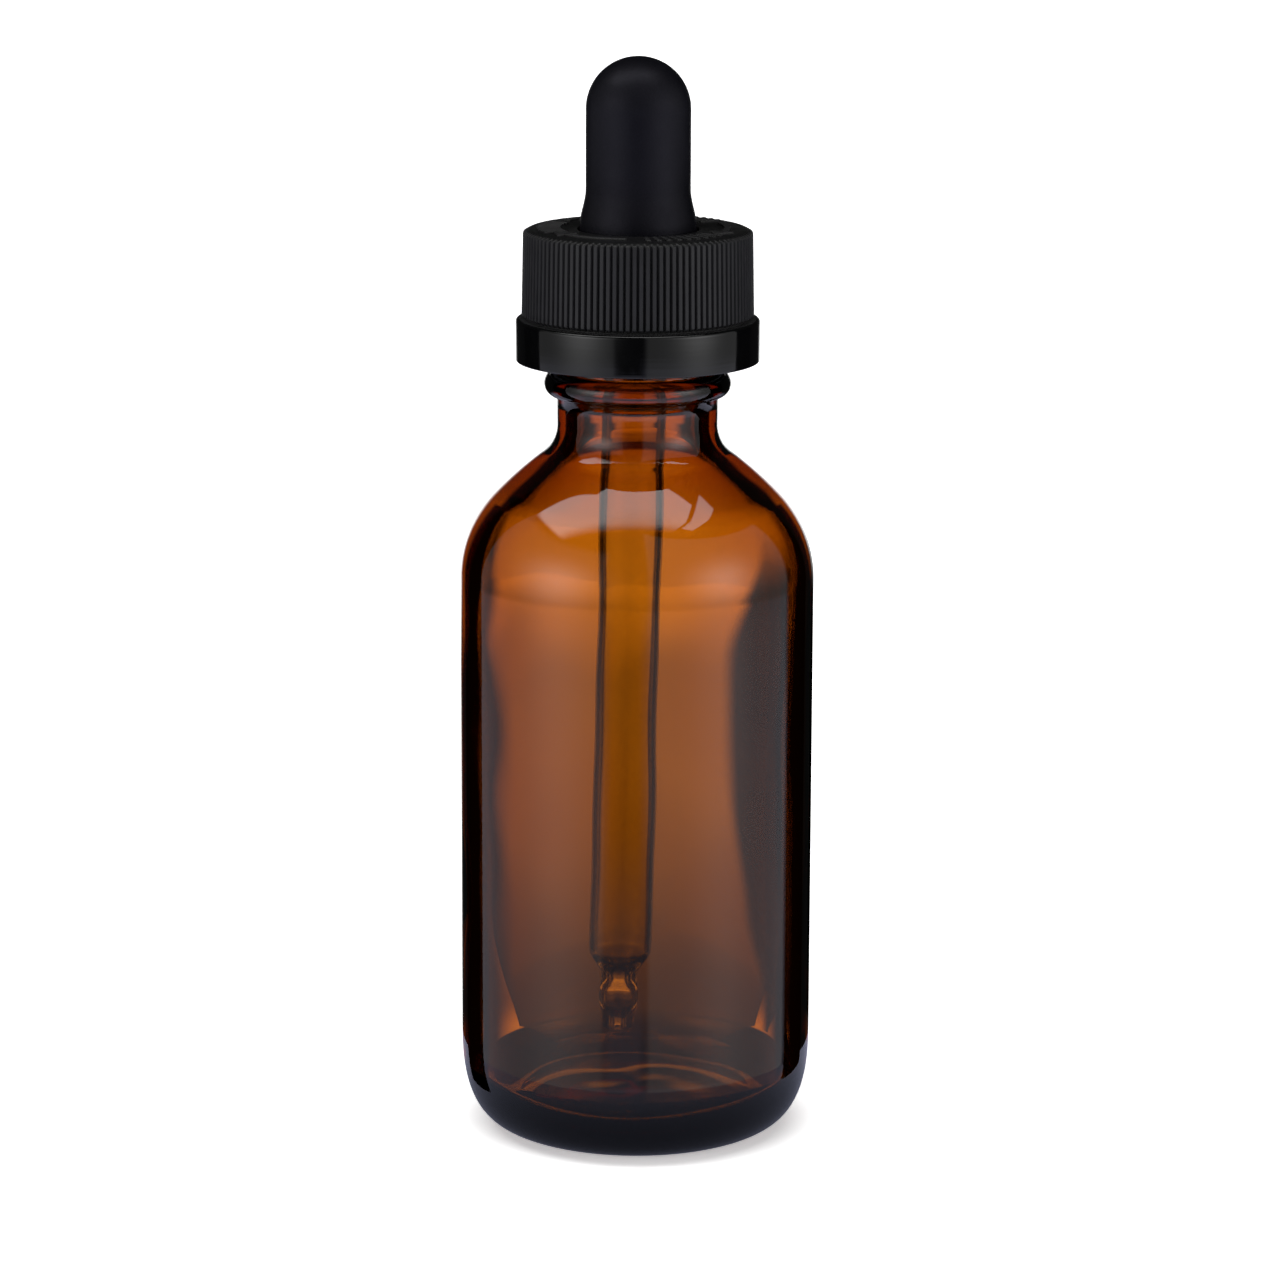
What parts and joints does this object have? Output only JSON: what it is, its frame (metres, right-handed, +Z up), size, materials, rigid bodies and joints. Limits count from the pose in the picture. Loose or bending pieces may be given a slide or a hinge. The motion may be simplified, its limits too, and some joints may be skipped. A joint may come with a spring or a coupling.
{
  "type": "dropper bottle",
  "caption": "Round-shouldered amber glass bottle with a push-and-turn dropper closure: rubber bulb, threaded inner cap, ribbed outer cap and a glass pipette with a ball tip.",
  "frame": {"origin": "centre of the circle that the bottle stands on", "axes": "+Z up the bottle's axis, towards the bulb; the pipette leans slightly towards -X; +Y is the back"},
  "size_m": [0.0388, 0.0388, 0.1194],
  "materials": {
    "amber_glass": "clear amber soda-lime glass, fire-polished",
    "clear_glass": "clear borosilicate tube, fire-polished ends",
    "bulb_rubber": "matte black rubber with a soft sheen",
    "inner_plastic": "black polypropylene",
    "cap_plastic": "black polypropylene, fine ribs with a satin skin and a glossy band below them"
  },
  "bodies": {
    "bottle": {"bottle": "amber_glass"},
    "pipette": {"pipette": "clear_glass"},
    "bulb": {"bulb": "bulb_rubber"},
    "bulb_teat": {"bulb_teat": "bulb_rubber"},
    "inner_cap": {"inner_cap": "inner_plastic"},
    "outer_cap": {"outer_cap": "cap_plastic"}
  },
  "joints": [
    {"name": "draw_out", "type": "slide", "parent": "bottle", "child": "pipette", "axis": [0, 0, 1], "range_m": [0, 0.1]},
    {"name": "thread_lift", "type": "slide", "parent": "pipette", "child": "bulb", "axis": [0, 0, 1], "range_m": [0, 0.00353]},
    {"name": "cap_turn", "type": "hinge", "parent": "bulb", "child": "inner_cap", "pos_m": [0, 0, 0.0964], "axis": [0, 0, 1], "range_deg": [0, 400]},
    {"name": "cap_push", "type": "slide", "parent": "inner_cap", "child": "outer_cap", "axis": [0, 0, -1], "range_m": [0, 0.001], "stiffness_N_per_m": 2000},
    {"name": "bulb_squeeze", "type": "slide", "parent": "bulb", "child": "bulb_teat", "axis": [0, 0, -1], "range_m": [0, 0.005], "stiffness_N_per_m": 600, "deforming": ["bulb_teat"]}
  ],
  "couplings": [
    {"joint": "thread_lift", "follows": "cap_turn", "m_per_rad": 0.00050532}
  ]
}
